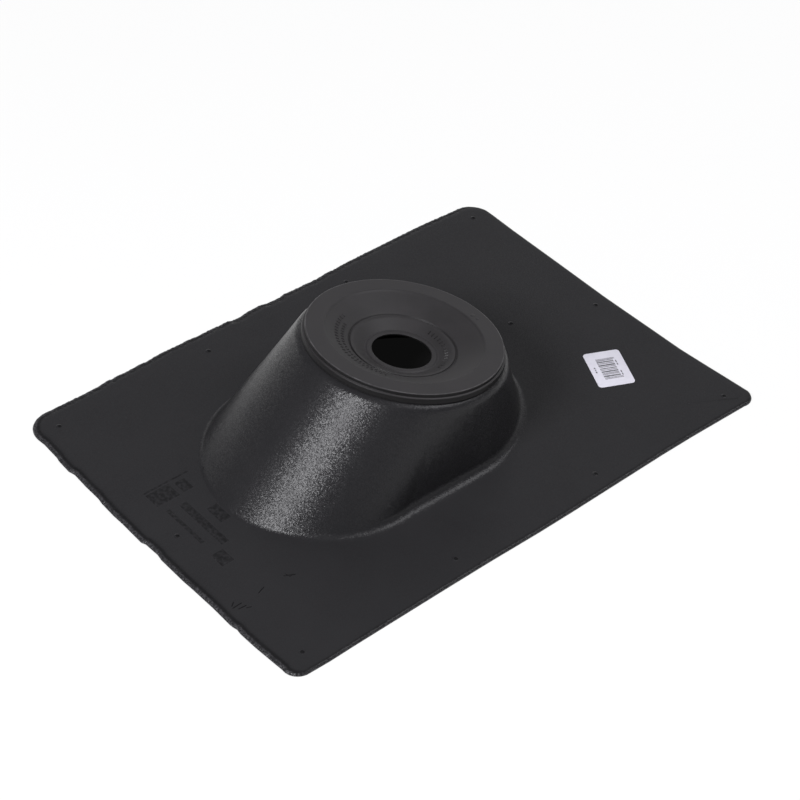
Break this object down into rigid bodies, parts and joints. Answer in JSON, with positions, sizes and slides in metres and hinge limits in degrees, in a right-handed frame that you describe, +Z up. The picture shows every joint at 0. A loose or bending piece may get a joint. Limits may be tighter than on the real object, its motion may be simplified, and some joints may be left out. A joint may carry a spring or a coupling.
{
  "type": "roof vent pipe flashing",
  "caption": "Moulded roof flashing for a vent pipe: flat flange with rounded corners, hollow slanted hood and a dished elastomer collar with a tear groove round its bore.",
  "frame": {"origin": "centre of the flange's underside", "axes": "+Z up out of the roof surface, +Y up the slope along the flange's length, +X across the slope"},
  "size_m": [0.28, 0.394, 0.0808],
  "materials": {
    "base_plastic": "black thermoplastic with a fine moulded grain",
    "collar_rubber": "soft dark grey elastomer, satin",
    "label_film": "white printed sticker"
  },
  "bodies": {
    "root": {"flashing_base": "base_plastic", "pipe_collar": "collar_rubber", "barcode_label": "label_film"}
  },
  "joints": []
}
